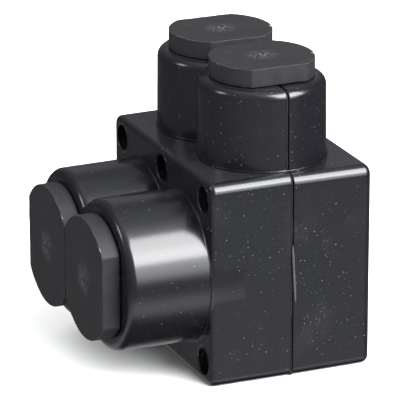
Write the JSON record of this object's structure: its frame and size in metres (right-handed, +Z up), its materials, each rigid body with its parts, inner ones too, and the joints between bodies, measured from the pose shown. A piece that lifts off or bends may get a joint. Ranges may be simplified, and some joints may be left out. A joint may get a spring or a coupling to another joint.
{
  "type": "insulated power cable connector",
  "caption": "Insulated power cable connector: side-by-side cable ports in front, clamp screws reached through ports on top, push-in rubber plugs closing them, split black housing.",
  "frame": {"origin": "centre of the whole object's footprint, on the plane of the housing's base", "axes": "+Z up, along the clamp screws; cables enter from the front, -Y; +X to the right of the front"},
  "size_m": [0.061, 0.0658, 0.0741],
  "materials": {
    "shell_plastic": "glossy black moulded plastic",
    "plug_rubber": "matte black rubber with a fine grain",
    "seal_rubber": "smooth black rubber",
    "gasket_rubber": "matte dark grey sheet rubber",
    "block_aluminium": "tin-plated aluminium",
    "clamp_screw_steel": "zinc-plated steel",
    "pad_brass": "turned brass",
    "shell_screw_steel": "black-oxide steel"
  },
  "bodies": {
    "housing": {"front_shell": "shell_plastic", "rear_shell": "shell_plastic", "edge_gasket": "gasket_rubber", "web_gasket": "gasket_rubber", "terminal_block": "block_aluminium", "cable_seal_left": "seal_rubber", "cable_seal_right": "seal_rubber", "shell_screw_upper_left": "shell_screw_steel", "shell_screw_upper_middle": "shell_screw_steel", "shell_screw_upper_right": "shell_screw_steel", "shell_screw_lower_left": "shell_screw_steel", "shell_screw_lower_middle": "shell_screw_steel", "shell_screw_lower_right": "shell_screw_steel"},
    "cable_plug_left": {"cable_plug_left": "plug_rubber"},
    "screw_plug_left": {"screw_plug_left": "plug_rubber"},
    "pressure_pad_left": {"pressure_pad_left": "pad_brass"},
    "clamp_screw_left": {"clamp_screw_left": "clamp_screw_steel"},
    "cable_plug_right": {"cable_plug_right": "plug_rubber"},
    "screw_plug_right": {"screw_plug_right": "plug_rubber"},
    "pressure_pad_right": {"pressure_pad_right": "pad_brass"},
    "clamp_screw_right": {"clamp_screw_right": "clamp_screw_steel"}
  },
  "joints": [
    {"name": "cable_plug_left_pull", "type": "slide", "parent": "housing", "child": "cable_plug_left", "axis": [0, -1, 0], "range_m": [0, 0.03]},
    {"name": "screw_plug_left_pull", "type": "slide", "parent": "housing", "child": "screw_plug_left", "axis": [0, 0, 1], "range_m": [0, 0.03]},
    {"name": "pressure_pad_left_feed", "type": "slide", "parent": "housing", "child": "pressure_pad_left", "axis": [0, 0, 1], "range_m": [-0.01505, 0]},
    {"name": "clamp_screw_left_turn", "type": "hinge", "parent": "pressure_pad_left", "child": "clamp_screw_left", "pos_m": [-0.01215, 0.01247, 0.0455], "axis": [0, 0, 1], "range_deg": [-3600, 0]},
    {"name": "cable_plug_right_pull", "type": "slide", "parent": "housing", "child": "cable_plug_right", "axis": [0, -1, 0], "range_m": [0, 0.03]},
    {"name": "screw_plug_right_pull", "type": "slide", "parent": "housing", "child": "screw_plug_right", "axis": [0, 0, 1], "range_m": [0, 0.03]},
    {"name": "pressure_pad_right_feed", "type": "slide", "parent": "housing", "child": "pressure_pad_right", "axis": [0, 0, 1], "range_m": [-0.01505, 0]},
    {"name": "clamp_screw_right_turn", "type": "hinge", "parent": "pressure_pad_right", "child": "clamp_screw_right", "pos_m": [0.01215, 0.01247, 0.0455], "axis": [0, 0, 1], "range_deg": [-3600, 0]}
  ],
  "couplings": [
    {"joint": "pressure_pad_left_feed", "follows": "clamp_screw_left_turn", "m_per_rad": 0.00023873},
    {"joint": "pressure_pad_right_feed", "follows": "clamp_screw_right_turn", "m_per_rad": 0.00023873}
  ]
}
